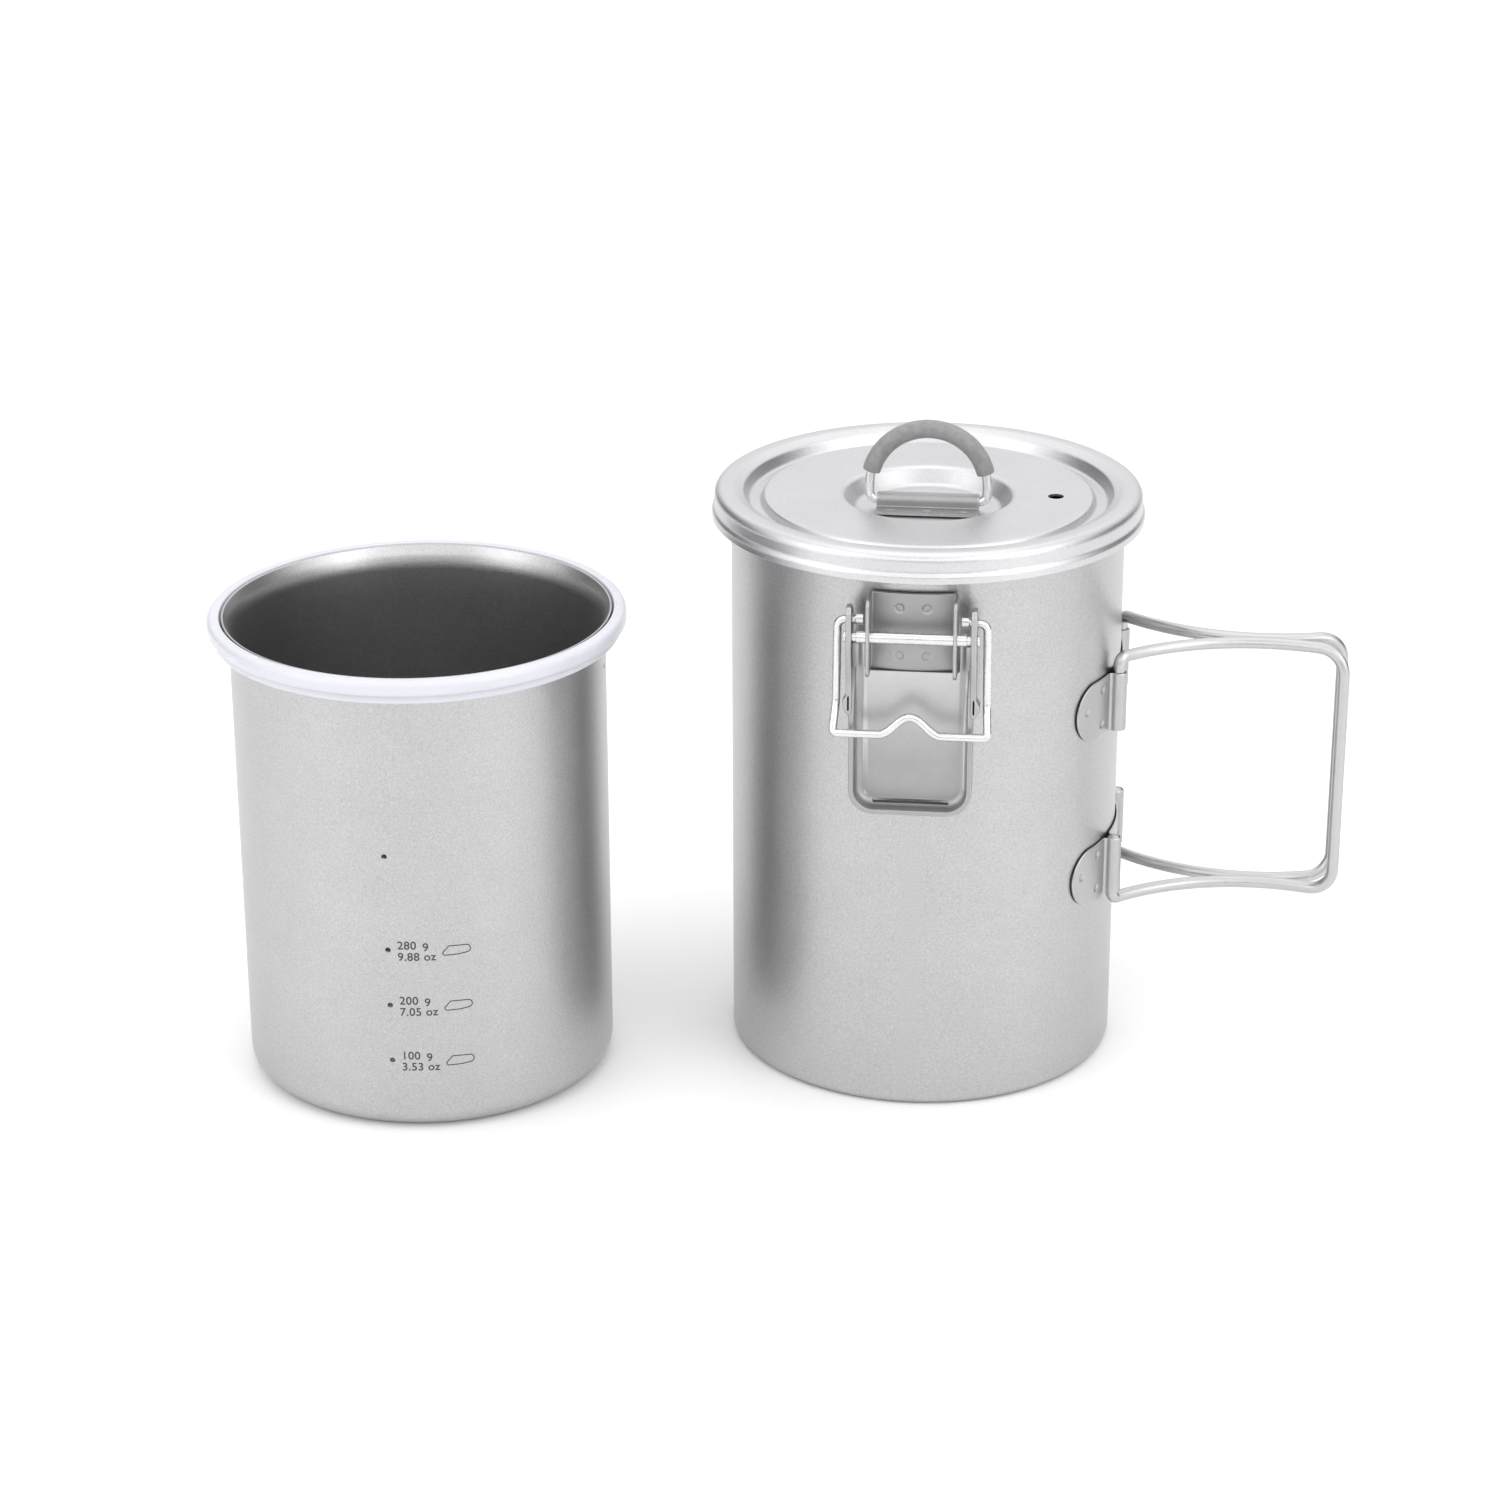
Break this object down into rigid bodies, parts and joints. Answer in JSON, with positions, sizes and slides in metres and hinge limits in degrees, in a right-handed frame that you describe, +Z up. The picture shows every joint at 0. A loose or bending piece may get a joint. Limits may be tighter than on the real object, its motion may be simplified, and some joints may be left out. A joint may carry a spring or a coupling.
{
  "type": "camping cook pot set",
  "caption": "Tall lidded camping pot with folding wire handles and lever latches, beside a smaller nesting pot with a soft rim gasket.",
  "frame": {"origin": "centre of the outer pot's base, on the surface that the set stands on", "axes": "+Z up, front latch towards -Y, handles towards +X, inner pot standing towards -X"},
  "size_m": [0.2878, 0.142, 0.1676],
  "materials": {
    "titanium": "satin, sand-blasted",
    "plate_steel": "satin",
    "wire_steel": "polished",
    "clear_silicone": "translucent, smooth",
    "grey_silicone": "matt"
  },
  "bodies": {
    "root": {"outer_pot": "titanium", "front_latch_bracket": "plate_steel", "front_latch_pin": "wire_steel", "rear_latch_bracket": "plate_steel", "rear_latch_pin": "wire_steel", "upper_hinge_strap": "plate_steel", "lower_hinge_strap": "plate_steel"},
    "lid_body": {"lid": "titanium", "lid_bracket": "plate_steel"},
    "lid_ring_body": {"lid_ring": "wire_steel", "ring_grip": "grey_silicone"},
    "inner_pot_body": {"inner_pot": "titanium", "gasket_ring": "clear_silicone"},
    "front_lever_body": {"front_lever": "plate_steel"},
    "front_bail_body": {"front_bail": "wire_steel"},
    "rear_lever_body": {"rear_lever": "plate_steel"},
    "rear_bail_body": {"rear_bail": "wire_steel"},
    "front_handle_body": {"front_handle": "wire_steel"},
    "rear_handle_body": {"rear_handle": "wire_steel"}
  },
  "joints": [
    {"name": "lid_lift", "type": "slide", "parent": "root", "child": "lid_body", "axis": [0, 0, -1], "range_m": [-0.1, 0]},
    {"name": "lid_ring_fold", "type": "hinge", "parent": "lid_body", "child": "lid_ring_body", "pos_m": [0, 0, 0.1464], "axis": [1, 0, 0], "range_deg": [-80, 80]},
    {"name": "inner_pot_lift", "type": "slide", "parent": "root", "child": "inner_pot_body", "axis": [0, 0, 1], "range_m": [0, 0.15]},
    {"name": "front_lever_swing", "type": "hinge", "parent": "root", "child": "front_lever_body", "pos_m": [0, -0.056, 0.1298], "axis": [1, 0, 0], "range_deg": [-170, 0]},
    {"name": "front_bail_swing", "type": "hinge", "parent": "front_lever_body", "child": "front_bail_body", "pos_m": [0, -0.0533, 0.1333], "axis": [-1, 0, 0], "range_deg": [0, 180]},
    {"name": "rear_lever_swing", "type": "hinge", "parent": "root", "child": "rear_lever_body", "pos_m": [0, 0.056, 0.1298], "axis": [-1, 0, 0], "range_deg": [-170, 0]},
    {"name": "rear_bail_swing", "type": "hinge", "parent": "rear_lever_body", "child": "rear_bail_body", "pos_m": [0, 0.0533, 0.1333], "axis": [1, 0, 0], "range_deg": [0, 180]},
    {"name": "front_handle_fold", "type": "hinge", "parent": "root", "child": "front_handle_body", "pos_m": [0.04997, -0.01576, 0.0782], "axis": [0, 0, -1], "range_deg": [0, 135]},
    {"name": "rear_handle_fold", "type": "hinge", "parent": "root", "child": "rear_handle_body", "pos_m": [0.04997, 0.01576, 0.0782], "axis": [0, 0, 1], "range_deg": [0, 135]}
  ]
}
